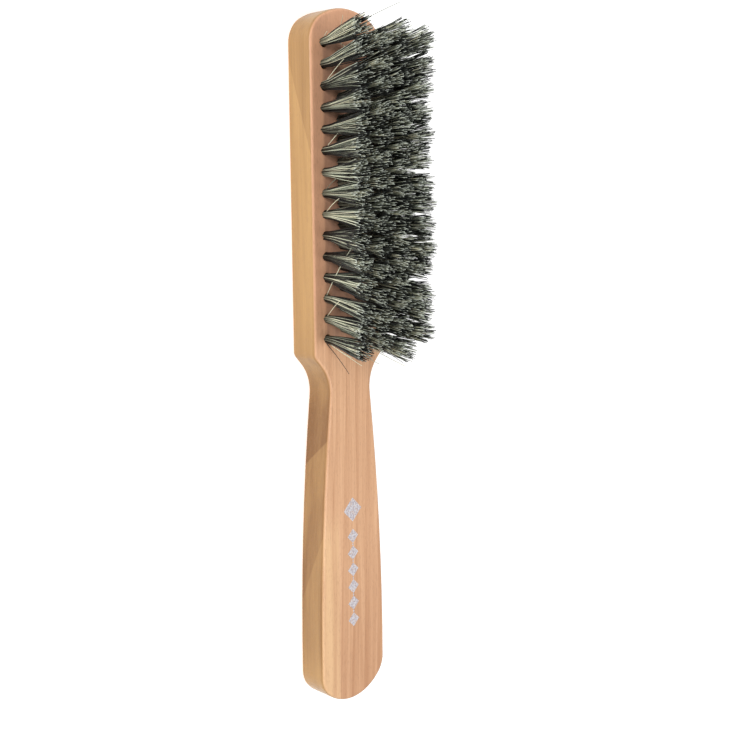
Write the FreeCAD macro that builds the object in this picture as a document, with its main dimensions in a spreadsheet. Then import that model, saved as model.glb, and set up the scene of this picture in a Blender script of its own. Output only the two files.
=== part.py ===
"""Paddle brush for dry brushing the body: a one-piece wooden handle and head, set with staggered
bristle tufts that are folded over flat metal anchors and driven into blind holes.

Row frame, millimetres: the brush lies on its flat back, +Z is the way the bristles point, +X runs
from the handle to the head, and the origin is the middle of the footprint on the back face.
"""

import FreeCAD, Part
import Sketcher
import math
import os

Vector = FreeCAD.Vector
Rotation = FreeCAD.Rotation

DOC = FreeCAD.newDocument("BodyBrush")

# ---- driving dimensions -------------------------------------------------------------------------

SIZES = {
    # wooden body, plan outline
    "brush_length": 243.0,
    "wood_thickness": 11.3,
    "head_length": 116.2,       # head tip to the corner of the shoulder
    "head_width": 34.0,
    "head_end_radius": 24.0,
    "head_corner_radius": 10.0,
    "shoulder_run": 8.45,       # length of the sloping shoulder along the brush
    "shoulder_radius": 3.0,
    "neck_width": 18.6,
    "neck_radius": 14.0,
    "flank_radius": 830.0,      # the handle's long gentle swell
    "widest_from_end": 16.0,    # handle tip to the widest part of the handle
    "handle_width": 30.2,
    "handle_end_radius": 18.0,
    "handle_corner_radius": 9.0,
    "rim_radius": 1.2,
    # tuft holes
    "first_hole_from_tip": 12.2,
    "tuft_pitch": 7.0,
    "row_spacing": 7.2,
    "hole_radius": 1.5,
    "hole_depth": 7.0,
    # bristle tufts
    "root_radius": 1.45,
    "bristle_reach": 22.5,      # bristle length above the wood
    "tip_half_length": 3.5,     # flared tip, along the brush
    "tip_half_width": 4.0,      # flared tip, across the brush
    "splay_along": 0.06,        # share of a tuft's distance from the bed's middle, added at its tip
    "splay_across": 0.34,
    # anchors
    "anchor_thickness": 0.35,
    "anchor_width": 3.8,
    "anchor_height": 1.4,
    "anchor_lift": 0.7,         # bristle folded under the anchor
    # foil stamp on the handle
    "foil_thickness": 0.05,
    "crest_centre": -50.9,      # large lozenge, from the origin
    "crest_side": 6.2,
    "foil_start": -60.6,        # first small lozenge, from the origin
    "foil_step": 6.2,
    "lozenge_side": 3.7,
    "dot_radius": 0.35,
}

TUFTS_IN_FULL_ROW = 15
LOZENGES = 6


def make_sheet():
    """Puts every driving dimension in a spreadsheet, one aliased cell each."""
    sheet = DOC.addObject("Spreadsheet::Sheet", "Sizes")
    for row, (alias, value) in enumerate(SIZES.items(), start=1):
        sheet.set(f"A{row}", alias)
        sheet.set(f"B{row}", str(value))
        sheet.setAlias(f"B{row}", alias)
    DOC.recompute()
    return sheet


SHEET = make_sheet()


def size(expression):
    """An expression on the sheet's cells: words that are aliases get the sheet's name."""
    words = expression.replace("(", " ( ").replace(")", " ) ").split()
    return " ".join("Sizes." + w if w in SIZES else w for w in words)


def bind(obj, prop, expression):
    """Binds one property of an object to the driving dimensions."""
    obj.setExpression(prop, size(expression))


def place(obj, x, y, z):
    """Binds an object's position to three expressions."""
    for axis, expression in zip("xyz", (x, y, z)):
        bind(obj, f"Placement.Base.{axis}", expression)


# ---- wooden body --------------------------------------------------------------------------------

# Corners of one side of the plan outline, from the head to the handle: (name, x, half width).
# The first lies on the head's end arc, so only its half width is given.
OUTLINE = [
    ("head_arc", None, "head_width / 2"),
    ("shoulder", "brush_length / 2 - head_length", "head_width / 2"),
    ("neck", "brush_length / 2 - head_length - shoulder_run", "neck_width / 2"),
]


def value_of(expression):
    """Works out a sum, difference, product or quotient of aliases and numbers, left to right."""
    terms, operator = [], "+"
    for word in expression.split():
        if word in ("+", "-", "*", "/"):
            operator = word
            continue
        number = SHEET.get(word) if word in SIZES else float(word)
        if operator == "*":
            terms[-1] *= number
        elif operator == "/":
            terms[-1] /= number
        else:
            terms.append(number if operator == "+" else -number)
    return sum(terms)


def arc_corner(end, radius, half_width):
    """x where an end arc of that radius, whose top is at x = end, reaches the half width."""
    drop = radius - (radius**2 - half_width**2) ** 0.5
    return end - drop if end > 0 else end + drop


def pin_point(sketch, geometry, point, x, y, side):
    """Dimensions a sketch point from the origin with two expressions; y is on the given side."""
    for kind, expression, negative in (("DistanceX", x, None), ("DistanceY", y, side < 0)):
        if expression is None:
            continue
        number = value_of(expression)
        if kind == "DistanceX":
            negative = number < 0
        ends = (geometry, point, -1, 1) if negative else (-1, 1, geometry, point)
        index = sketch.addConstraint(Sketcher.Constraint(kind, *ends, abs(number)))
        text = size(expression)
        if kind == "DistanceX" and negative:
            text = f"-( {text} )"
        sketch.setExpression(f"Constraints[{index}]", text)


def outline_sketch(body):
    """The plan outline: straight head flanks and shoulders, bowed handle flanks, an arc at each end."""
    sketch = body.newObject("Sketcher::SketchObject", "PlanOutline")
    sketch.AttachmentSupport = [(origin_plane(body, "XY_Plane"), "")]
    sketch.MapMode = "FlatFace"

    half_length = value_of("brush_length / 2")
    head_x = arc_corner(half_length, SHEET.head_end_radius, SHEET.head_width / 2)
    lines = len(OUTLINE) - 1
    for side in (1, -1):
        corners = []
        for _, x, half_width in OUTLINE:
            number = head_x if x is None else value_of(x)
            corners.append(Vector(number, side * value_of(half_width), 0))
        for first, second in zip(corners, corners[1:]):
            sketch.addGeometry(Part.LineSegment(first, second), False)
    for side, start in ((1, 0), (-1, lines)):
        for k in range(lines - 1):
            sketch.addConstraint(Sketcher.Constraint("Coincident", start + k, 2, start + k + 1, 1))
        for k, (_, x, half_width) in enumerate(OUTLINE[:-1]):
            pin_point(sketch, start + k, 1, x, half_width, side)
        pin_point(sketch, start + lines - 1, 2, OUTLINE[-1][1], OUTLINE[-1][2], side)

    left_tail = flank_arc(sketch, 1, (lines - 1, 2))
    right_tail = flank_arc(sketch, -1, (2 * lines - 1, 2))
    end_arc(sketch, "head_end_radius", half_length, (0, 1), (lines, 1))
    end_arc(sketch, "handle_end_radius", -half_length, left_tail, right_tail)
    return sketch


def flank_arc(sketch, side, neck):
    """One bowed flank of the handle, from the neck corner to the handle's end arc.

    Gives the arc and the number of its point at the handle's end.
    """
    neck_point = Vector(value_of(OUTLINE[-1][1]), side * value_of(OUTLINE[-1][2]), 0)
    widest_x = value_of("widest_from_end - brush_length / 2")
    half_width = value_of("handle_width / 2")
    tail_x = arc_corner(-value_of("brush_length / 2"), SHEET.handle_end_radius, half_width)
    tail_point = Vector(tail_x, side * half_width, 0)
    widest_point = Vector(widest_x, side * half_width, 0)
    middle = widest_point * 0.5 + neck_point * 0.5
    rise = (neck_point.x - widest_x) ** 2 / (8 * SHEET.flank_radius)
    middle.y += side * rise
    # Anticlockwise: from the neck to the tail on the left flank, and back on the right one.
    first, last = (neck_point, tail_point) if side > 0 else (tail_point, neck_point)
    arc = sketch.addGeometry(Part.Arc(first, middle, last), False)
    neck_end, tail_end = (1, 2) if side > 0 else (2, 1)
    sketch.addConstraint(Sketcher.Constraint("Coincident", arc, neck_end, *neck))
    index = sketch.addConstraint(Sketcher.Constraint("Radius", arc, SHEET.flank_radius))
    sketch.setExpression(f"Constraints[{index}]", size("flank_radius"))
    index = sketch.addConstraint(Sketcher.Constraint("DistanceX", arc, 3, -1, 1, -widest_x))
    sketch.setExpression(f"Constraints[{index}]", size("brush_length / 2 - widest_from_end"))
    return arc, tail_end


def end_arc(sketch, radius_name, tip, upper, lower):
    """An arc across one end of the outline, centred on the long axis, with its top at the tip."""
    radius = value_of(radius_name)
    half_width = value_of("head_width / 2" if tip > 0 else "handle_width / 2")
    corner = Vector(arc_corner(tip, radius, half_width), half_width, 0)
    mirrored = Vector(corner.x, -corner.y, 0)
    # An arc runs anticlockwise: up to the upper corner at the head, and down from it at the handle.
    first, last = (mirrored, corner) if tip > 0 else (corner, mirrored)
    arc = sketch.addGeometry(Part.Arc(first, Vector(tip, 0, 0), last), False)
    up_end, low_end = (2, 1) if tip > 0 else (1, 2)
    sketch.addConstraint(Sketcher.Constraint("Coincident", arc, up_end, *upper))
    sketch.addConstraint(Sketcher.Constraint("Coincident", arc, low_end, *lower))
    sketch.addConstraint(Sketcher.Constraint("PointOnObject", arc, 3, -1))
    index = sketch.addConstraint(Sketcher.Constraint("Radius", arc, radius))
    sketch.setExpression(f"Constraints[{index}]", size(radius_name))
    ends = (-1, 1, arc, 3) if tip > 0 else (arc, 3, -1, 1)
    distance = abs(tip) - radius
    index = sketch.addConstraint(Sketcher.Constraint("DistanceX", *ends, distance))
    sketch.setExpression(f"Constraints[{index}]", size(f"brush_length / 2 - {radius_name}"))


def origin_plane(body, role):
    """One of a body's origin planes or axes, by its role."""
    return next(f for f in body.Origin.OriginFeatures if f.Role == role)


CORNER_REACH = 1.0  # an upright edge this near a plan corner is that corner's


def upright_edges(shape, x, half_width):
    """Names of the two upright edges that stand near (x, +-half_width)."""
    names = []
    for number, edge in enumerate(shape.Edges, start=1):
        ends = [v.Point for v in edge.Vertexes]
        if len(ends) != 2 or abs(ends[0].z - ends[1].z) < SHEET.wood_thickness / 2:
            continue
        if abs(ends[0].x - x) < CORNER_REACH and abs(abs(ends[0].y) - half_width) < CORNER_REACH:
            names.append(f"Edge{number}")
    return names


def fillet(body, name, base, edges, radius_name):
    """One fillet feature on the named edges of the feature before it."""
    if not edges:
        raise RuntimeError(f"{name} found no edge to round")
    feature = body.newObject("PartDesign::Fillet", name)
    feature.Base = (base, edges)
    feature.Radius = value_of(radius_name)
    bind(feature, "Radius", radius_name)
    DOC.recompute()
    return feature


def rounded_blank(body):
    """The outline padded to the wood's thickness, its plan corners rounded, then its rims."""
    pad = body.newObject("PartDesign::Pad", "Blank")
    pad.Profile = outline_sketch(body)
    bind(pad, "Length", "wood_thickness")
    DOC.recompute()

    half_length = value_of("brush_length / 2")
    head_x = arc_corner(half_length, SHEET.head_end_radius, SHEET.head_width / 2)
    handle_x = arc_corner(-half_length, SHEET.handle_end_radius, SHEET.handle_width / 2)
    corners = [
        ("HeadCorners", head_x, "head_width / 2", "head_corner_radius"),
        ("HandleCorners", handle_x, "handle_width / 2", "handle_corner_radius"),
        ("Neck", value_of(OUTLINE[2][1]), OUTLINE[2][2], "neck_radius"),
        ("Shoulder", value_of(OUTLINE[1][1]), OUTLINE[1][2], "shoulder_radius"),
    ]
    feature = pad
    for name, x, half_width, radius_name in corners:
        edges = upright_edges(feature.Shape, x, value_of(half_width))
        feature = fillet(body, name, feature, edges, radius_name)

    rims = []
    for number, edge in enumerate(feature.Shape.Edges, start=1):
        box = edge.BoundBox
        if box.ZLength < 0.01:
            rims.append(f"Edge{number}")
    return fillet(body, "Rims", feature, rims, "rim_radius")


# The bed has four rows. Rows of one phase start at the first hole, and the others half a pitch on.
# A phase is (name, how far its first tuft is set back, its rows' distances from the middle, count).
PHASES = [
    ("A", "0 * tuft_pitch", ("1.5 * row_spacing", "-0.5 * row_spacing"), TUFTS_IN_FULL_ROW),
    ("B", "0.5 * tuft_pitch", ("0.5 * row_spacing", "-1.5 * row_spacing"), TUFTS_IN_FULL_ROW - 1),
]
FIRST_X = "brush_length / 2 - first_hole_from_tip"


def top_sketch(body, name):
    """An empty sketch on the wood's top face plane."""
    sketch = body.newObject("Sketcher::SketchObject", name)
    sketch.AttachmentSupport = [(origin_plane(body, "XY_Plane"), "")]
    sketch.MapMode = "FlatFace"
    sketch.setExpression("AttachmentOffset.Base.z", size("wood_thickness"))
    return sketch


def row_sign(expression):
    """Which side of the middle a row is on, and the expression for its distance."""
    if expression.startswith("-"):
        return -1, expression[1:]
    return 1, expression


def hole_pattern(body, phase, set_back, rows, count):
    """Blind tuft holes with the slits that the anchors cut, repeated along the head."""
    x_text = f"{FIRST_X} - {set_back}"
    x = value_of(x_text)

    holes = top_sketch(body, f"Holes{phase}")
    for row in rows:
        side, distance = row_sign(row)
        centre = Vector(x, side * value_of(distance), 0)
        circle = holes.addGeometry(Part.Circle(centre, Vector(0, 0, 1), SHEET.hole_radius), False)
        pin_point(holes, circle, 3, x_text, distance, side)
        index = holes.addConstraint(Sketcher.Constraint("Radius", circle, SHEET.hole_radius))
        holes.setExpression(f"Constraints[{index}]", size("hole_radius"))
    hole = body.newObject("PartDesign::Pocket", f"TuftHoles{phase}")
    hole.Profile = holes
    bind(hole, "Length", "hole_depth")
    DOC.recompute()

    slits = top_sketch(body, f"Slits{phase}")
    half_thickness = SHEET.anchor_thickness / 2
    half_width = SHEET.anchor_width / 2
    for row in rows:
        side, distance = row_sign(row)
        y = side * value_of(distance)
        corners = [
            Vector(x - half_thickness, y - half_width, 0),
            Vector(x + half_thickness, y - half_width, 0),
            Vector(x + half_thickness, y + half_width, 0),
            Vector(x - half_thickness, y + half_width, 0),
        ]
        start = slits.GeometryCount
        for k in range(4):
            slits.addGeometry(Part.LineSegment(corners[k], corners[(k + 1) % 4]), False)
        for k in range(4):
            following = start + (k + 1) % 4
            slits.addConstraint(Sketcher.Constraint("Coincident", start + k, 2, following, 1))
        for k in (0, 2):
            slits.addConstraint(Sketcher.Constraint("Horizontal", start + k))
        for k in (1, 3):
            slits.addConstraint(Sketcher.Constraint("Vertical", start + k))
        pin_point(slits, start, 1, f"{x_text} - anchor_thickness / 2", None, 1)
        low = f"{distance} - anchor_width / 2" if side > 0 else f"{distance} + anchor_width / 2"
        pin_point(slits, start, 1, None, low, side)
        for line, kind, name in ((start, "DistanceX", "anchor_thickness"),
                                 (start + 1, "DistanceY", "anchor_width")):
            length = value_of(name)
            index = slits.addConstraint(Sketcher.Constraint(kind, line, 1, line, 2, length))
            slits.setExpression(f"Constraints[{index}]", size(name))
    slit = body.newObject("PartDesign::Pocket", f"AnchorSlits{phase}")
    slit.Profile = slits
    bind(slit, "Length", "hole_depth - anchor_lift")
    DOC.recompute()

    pattern = body.newObject("PartDesign::LinearPattern", f"Rows{phase}")
    pattern.Originals = [hole, slit]
    pattern.Direction = (origin_plane(body, "X_Axis"), [""])
    pattern.Reversed = True
    pattern.Occurrences = count
    bind(pattern, "Length", f"tuft_pitch * {count - 1}")
    body.Tip = pattern
    DOC.recompute()
    return pattern


def wooden_body():
    """The one-piece handle and head, drilled for the tufts."""
    body = DOC.addObject("PartDesign::Body", "WoodenBody")
    body.Label = "wooden_body"
    blank = rounded_blank(body)
    before = blank.Shape.Volume
    for phase in PHASES:
        hole_pattern(body, *phase)
    drilled = before - body.Shape.Volume
    count = sum(2 * phase[3] for phase in PHASES)
    plain_hole = math.pi * SHEET.hole_radius**2 * SHEET.hole_depth
    print(f"wood {before:.0f} mm3, drilled {drilled:.1f}, {count} plain holes {count * plain_hole:.1f}")
    if drilled < count * plain_hole:
        raise RuntimeError("the tuft holes cut too little")
    return body


# ---- tufts and anchors --------------------------------------------------------------------------


def tuft_parts(name, x, y):
    """One tuft, cut where its anchor passes, and the anchor. x and y are expressions."""
    floor = "wood_thickness - hole_depth"
    root = DOC.addObject("Part::Cylinder", f"Root{name}")
    bind(root, "Radius", "root_radius")
    bind(root, "Height", "hole_depth")
    place(root, x, y, floor)

    collar = DOC.addObject("Part::Circle", f"Collar{name}")
    bind(collar, "Radius", "root_radius")
    place(collar, x, y, "wood_thickness")

    tip = DOC.addObject("Part::Ellipse", f"Tip{name}")
    tip.Placement.Rotation = Rotation(Vector(0, 0, 1), 90)
    bind(tip, "MajorRadius", "tip_half_width")
    bind(tip, "MinorRadius", "tip_half_length")
    middle = f"{FIRST_X} - tuft_pitch * {(TUFTS_IN_FULL_ROW - 1) / 2}"
    tip_x = f"{x} + splay_along * ( {x} - ( {middle} ) )"
    place(tip, tip_x, f"{y} * ( 1 + splay_across )", "wood_thickness + bristle_reach")

    flare = DOC.addObject("Part::Loft", f"Flare{name}")
    flare.Sections = [collar, tip]
    flare.Solid = True
    flare.Ruled = True

    bundle = DOC.addObject("Part::Fuse", f"Bundle{name}")
    bundle.Base = root
    bundle.Tool = flare

    anchor = DOC.addObject("Part::Box", f"Anchor{name}")
    bind(anchor, "Length", "anchor_thickness")
    bind(anchor, "Width", "anchor_width")
    bind(anchor, "Height", "anchor_height")
    place(anchor, f"{x} - anchor_thickness / 2", f"{y} - anchor_width / 2", f"{floor} + anchor_lift")

    tuft = DOC.addObject("Part::Cut", f"Tuft{name}")
    tuft.Base = bundle
    tuft.Tool = anchor
    return tuft, anchor


def tuft_ranks():
    """One group of tufts and one of anchors for each rank across the head."""
    groups = []
    for rank in range(TUFTS_IN_FULL_ROW):
        tufts, anchors = [], []
        for phase, set_back, rows, count in PHASES:
            if rank >= count:
                continue
            for number, row in enumerate(rows, start=1):
                x = f"{FIRST_X} - {set_back} - tuft_pitch * {rank}"
                tuft, anchor = tuft_parts(f"{rank + 1:02d}{phase}{number}", x, row)
                tufts.append(tuft)
                anchors.append(anchor)
        for label, members in ((f"bristle_tufts_{rank + 1:02d}", tufts),
                               (f"tuft_anchors_{rank + 1:02d}", anchors)):
            group = DOC.addObject("Part::Compound", label)
            group.Label = label
            group.Links = members
            groups.append(group)
    return groups


# ---- foil stamp ---------------------------------------------------------------------------------


def lozenge(name, side, x):
    """One square of foil set on its corner, centred on the handle at x."""
    square = DOC.addObject("Part::Box", name)
    bind(square, "Length", side)
    bind(square, "Width", side)
    bind(square, "Height", "foil_thickness")
    square.Placement.Rotation = Rotation(Vector(0, 0, 1), 45)
    place(square, x, f"0 - {side} / 2 ^ 0.5", "wood_thickness")
    return square


def foil_stamp():
    """A plain ornament stamped along the handle: a large lozenge, then small ones with dots."""
    pieces = [lozenge("Crest", "crest_side", "crest_centre")]
    for k in range(LOZENGES):
        x = f"foil_start - foil_step * {k}"
        pieces.append(lozenge(f"Lozenge{k}", "lozenge_side", x))
        if k < LOZENGES - 1:
            dot = DOC.addObject("Part::Cylinder", f"Dot{k}")
            bind(dot, "Radius", "dot_radius")
            bind(dot, "Height", "foil_thickness")
            place(dot, f"{x} - foil_step / 2", "0 * foil_step", "wood_thickness")
            pieces.append(dot)
    stamp = DOC.addObject("Part::Compound", "foil_stamp")
    stamp.Label = "foil_stamp"
    stamp.Links = pieces
    return stamp


# ---- checks and files ---------------------------------------------------------------------------


def main():
    """Builds every sub-part, checks the document and writes one STEP file for each node."""
    nodes = [wooden_body(), *tuft_ranks(), foil_stamp()]
    DOC.recompute()
    for obj in DOC.Objects:
        if any(state in ("Invalid", "Error") for state in obj.State):
            raise RuntimeError(f"{obj.Name} failed: {obj.State}")
    os.makedirs("parts", exist_ok=True)
    for node in nodes:
        shape = node.Shape
        if shape.isNull() or not shape.isValid() or not shape.Solids:
            raise RuntimeError(f"{node.Label} has no valid solid")
        shape.exportStep(f"parts/{node.Label}.step")
        box = shape.BoundBox
        print(f"{node.Label}: {len(shape.Solids)} solids, {box.XLength:.2f} x {box.YLength:.2f}"
              f" x {box.ZLength:.2f} mm, {shape.Volume:.1f} mm3")


main()
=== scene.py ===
"""Looks of a wooden body brush: varnished wood, flared tufts of mixed bristle and a silver stamp.

The brush lies on its flat back. Metres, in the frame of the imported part: +X runs from the handle
to the head, +Z is the way the bristles point, and the floor is at z = 0.
"""

from __future__ import annotations

import logging
import math
import random
from dataclasses import dataclass, field
from enum import Enum
from typing import Any

import bpy
from mathutils import Matrix, Vector

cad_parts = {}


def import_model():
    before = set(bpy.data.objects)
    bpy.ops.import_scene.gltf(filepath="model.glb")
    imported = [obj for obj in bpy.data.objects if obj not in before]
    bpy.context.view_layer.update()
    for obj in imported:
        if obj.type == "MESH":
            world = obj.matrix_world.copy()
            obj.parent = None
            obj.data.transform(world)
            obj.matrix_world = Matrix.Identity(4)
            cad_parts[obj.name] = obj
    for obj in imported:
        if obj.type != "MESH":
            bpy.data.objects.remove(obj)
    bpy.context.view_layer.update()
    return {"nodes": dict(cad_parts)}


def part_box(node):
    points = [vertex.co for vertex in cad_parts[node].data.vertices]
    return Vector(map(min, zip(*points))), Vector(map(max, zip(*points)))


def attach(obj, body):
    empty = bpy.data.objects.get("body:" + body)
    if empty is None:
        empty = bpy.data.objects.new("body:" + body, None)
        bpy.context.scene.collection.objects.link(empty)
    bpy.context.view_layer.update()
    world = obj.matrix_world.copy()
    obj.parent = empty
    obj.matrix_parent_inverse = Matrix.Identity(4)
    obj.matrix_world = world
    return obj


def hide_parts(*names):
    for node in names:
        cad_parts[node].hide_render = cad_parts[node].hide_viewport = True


LOG = logging.getLogger("body_brush")
BODY = "root"
RANKS = 15
TREE_ONLY = ("root", "tip", "bow", "stout")  # used while strands grow, not by their material
HABITS = ("lean_x", "lean_y", "fan", "light")
Color = tuple[float, float, float]
Triple = tuple[float, float, float]
Pair = tuple[float, float]


class Slot(Enum):
    """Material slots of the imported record."""

    WOOD = "varnished_wood"
    BRISTLE = "bristle"
    STEEL = "anchor_steel"
    FOIL = "silver_foil"


# ---- node graphs ----


class Graph:
    """Adds and joins the nodes of one shader or geometry tree."""

    def __init__(self, tree: bpy.types.NodeTree) -> None:
        """Starts on an empty tree.

        Args:
            tree: the tree that gets the nodes.
        """
        self.tree = tree

    @staticmethod
    def pick(sockets: Any, name: str) -> bpy.types.NodeSocket:
        """The live socket of that name, since a node may carry one for each data type."""
        return next(socket for socket in sockets if socket.name == name and socket.enabled)

    def feed(self, socket: bpy.types.NodeSocket, value: Any) -> None:
        """Gives an input its value.

        Args:
            socket: the input.
            value: another node's output, or a plain value.
        """
        if isinstance(value, bpy.types.NodeSocket):
            self.tree.links.new(value, socket)
        else:
            socket.default_value = value

    def node(self, kind: str, settings: dict[str, Any] | None = None,
             **inputs: Any) -> bpy.types.Node:
        """Adds one node.

        Args:
            kind: the node's type name.
            settings: properties of the node, such as its operation.
            **inputs: values by input name, with underscores for spaces.

        Returns:
            The new node.
        """
        made = self.tree.nodes.new(kind)
        for name, value in (settings or {}).items():
            setattr(made, name, value)
        for name, value in inputs.items():
            self.feed(self.pick(made.inputs, name.replace("_", " ")), value)
        return made

    def out(self, node: bpy.types.Node, name: str) -> bpy.types.NodeSocket:
        """The live output of that name."""
        return self.pick(node.outputs, name)

    def maths(self, operation: str, *values: Any, clamp: bool = False) -> bpy.types.NodeSocket:
        """A Math node on up to three values.

        Args:
            operation: such as "ADD" or "MULTIPLY".
            *values: outputs or plain numbers.
            clamp: whether the result is kept within 0 and 1.

        Returns:
            The result.
        """
        made = self.tree.nodes.new("ShaderNodeMath")
        made.operation = operation
        made.use_clamp = clamp
        for socket, value in zip(made.inputs, values):
            self.feed(socket, value)
        return made.outputs[0]

    def vector(self, operation: str, *values: Any) -> bpy.types.NodeSocket:
        """A Vector Math node whose result is a vector.

        Args:
            operation: such as "ADD" or "SCALE". SCALE takes a vector and a number.
            *values: outputs, vectors or numbers.

        Returns:
            The result.
        """
        made = self.tree.nodes.new("ShaderNodeVectorMath")
        made.operation = operation
        sockets = [made.inputs[0], made.inputs["Scale"]] if operation == "SCALE" else made.inputs
        for socket, value in zip(sockets, values):
            self.feed(socket, value)
        return made.outputs["Vector"]

    def xyz(self, x: Any = 0.0, y: Any = 0.0, z: Any = 0.0) -> bpy.types.NodeSocket:
        """A vector put together from three values."""
        return self.node("ShaderNodeCombineXYZ", X=x, Y=y, Z=z).outputs[0]

    def parts(self, vector: Any) -> tuple[bpy.types.NodeSocket, ...]:
        """The x, y and z of a vector."""
        return tuple(self.node("ShaderNodeSeparateXYZ", Vector=vector).outputs)

    def step(self, value: Any, low: float, high: float) -> bpy.types.NodeSocket:
        """A smooth step.

        Args:
            value: the value that is stepped.
            low: where the result is 0.
            high: where the result is 1.

        Returns:
            The step's value.
        """
        made = self.node("ShaderNodeMapRange", {"interpolation_type": "SMOOTHSTEP"},
                         Value=value, From_Min=low, From_Max=high)
        return made.outputs[0]

    def blend(self, share: Any, first: Any, second: Any) -> bpy.types.NodeSocket:
        """Mixes two colours.

        Args:
            share: how much of the second colour, 0 to 1.
            first: the first colour.
            second: the second colour.

        Returns:
            The mixed colour.
        """
        made = self.node("ShaderNodeMix", {"data_type": "RGBA"}, Factor=share)
        for name, value in (("A", first), ("B", second)):
            color = (*value, 1.0) if isinstance(value, tuple) and len(value) == 3 else value
            self.feed(self.pick(made.inputs, name), color)
        return self.out(made, "Result")

    def noise(self, vector: Any, scale: Any, detail: Any = 2.0,
              rough: float = 0.5) -> bpy.types.Node:
        """A noise texture at those coordinates."""
        return self.node("ShaderNodeTexNoise", Vector=vector, Scale=scale, Detail=detail,
                         Roughness=rough)


def shader_group(name: str, numbers: dict[str, float],
                 output: str) -> tuple[Graph, Any, bpy.types.NodeSocket]:
    """Starts a shader node group that reads a vector and some numbers.

    Args:
        name: the group's name.
        numbers: the number inputs by name, with their default values.
        output: the name of its output, a plain value.

    Returns:
        The group's graph, its inputs by name and the socket that its result goes to.
    """
    tree = bpy.data.node_groups.new(name, "ShaderNodeTree")
    sockets = tree.interface
    sockets.new_socket("Vector", in_out="INPUT", socket_type="NodeSocketVector")
    for label, default in numbers.items():
        socket = sockets.new_socket(label, in_out="INPUT", socket_type="NodeSocketFloat")
        socket.default_value = default
    sockets.new_socket(output, in_out="OUTPUT", socket_type="NodeSocketFloat")
    given = tree.nodes.new("NodeGroupInput").outputs
    return Graph(tree), given, tree.nodes.new("NodeGroupOutput").inputs[output]


def streaks_group() -> bpy.types.NodeTree:
    """Streaks that run along X, such as wood fibre or the drawn lines of a wire.

    Returns:
        A group whose Streak output varies from 0 to 1.
    """
    graph, given, result = shader_group(
        "lengthwise_streaks", {"Along": 10.0, "Across": 500.0, "Detail": 3.0, "Waver": 0.001},
        "Streak")
    slow = graph.noise(given["Vector"], 16.0, 1.0)
    centred = graph.vector("SUBTRACT", slow.outputs["Color"], (0.5, 0.5, 0.5))
    bent = graph.vector("ADD", given["Vector"], graph.vector("SCALE", centred, given["Waver"]))
    scale = graph.xyz(given["Along"], given["Across"], given["Across"])
    stretched = graph.vector("MULTIPLY", bent, scale)
    streak = graph.noise(stretched, 1.0, given["Detail"], 0.55)
    graph.feed(result, graph.step(streak.outputs[0], 0.28, 0.72))
    return graph.tree


def rubbed_group() -> bpy.types.NodeTree:
    """Patches where handling has rubbed a finish.

    Returns:
        A group whose Rubbed output is 1 in a patch and 0 outside it.
    """
    graph, given, result = shader_group("rubbed_patches", {"Scale": 60.0, "Spread": 0.5},
                                        "Rubbed")
    patch = graph.noise(given["Vector"], given["Scale"], 4.0, 0.6)
    edge = graph.maths("SUBTRACT", 1.0, given["Spread"])
    over = graph.maths("SUBTRACT", patch.outputs[0], edge)
    graph.feed(result, graph.step(over, -0.04, 0.06))
    return graph.tree


@dataclass(frozen=True)
class SharedEffects:
    """The node groups that several finishes use."""

    streaks: bpy.types.NodeTree
    rubbed: bpy.types.NodeTree

    @classmethod
    def build(cls) -> SharedEffects:
        """Makes each group once."""
        return cls(streaks_group(), rubbed_group())

    @staticmethod
    def place(graph: Graph, group: bpy.types.NodeTree, **inputs: Any) -> bpy.types.NodeSocket:
        """Puts one of the groups in a material.

        Args:
            graph: the material's graph.
            group: the group.
            **inputs: values for its inputs.

        Returns:
            The group's only output.
        """
        made = graph.tree.nodes.new("ShaderNodeGroup")
        made.node_tree = group
        for name, value in inputs.items():
            graph.feed(made.inputs[name], value)
        return made.outputs[0]


def new_material(name: str) -> tuple[bpy.types.Material, Graph, bpy.types.Node]:
    """Starts a material.

    Args:
        name: the material's name.

    Returns:
        The material, its graph and its Principled shader.
    """
    material = bpy.data.materials.new(name)
    material.use_nodes = True
    return material, Graph(material.node_tree), material.node_tree.nodes["Principled BSDF"]


# ---- finishes ----


@dataclass(frozen=True)
class LayerEdge:
    """A slanted edge of a growth layer in the wood's narrow sides.

    The side is darker towards the head from the edge, and fades back over a length.
    """

    at_back: float  # x of the edge on the back face
    lean: float  # how far x moves for each unit of height
    fade: float
    depth: float
    sharpness: float = 0.0004


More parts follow.
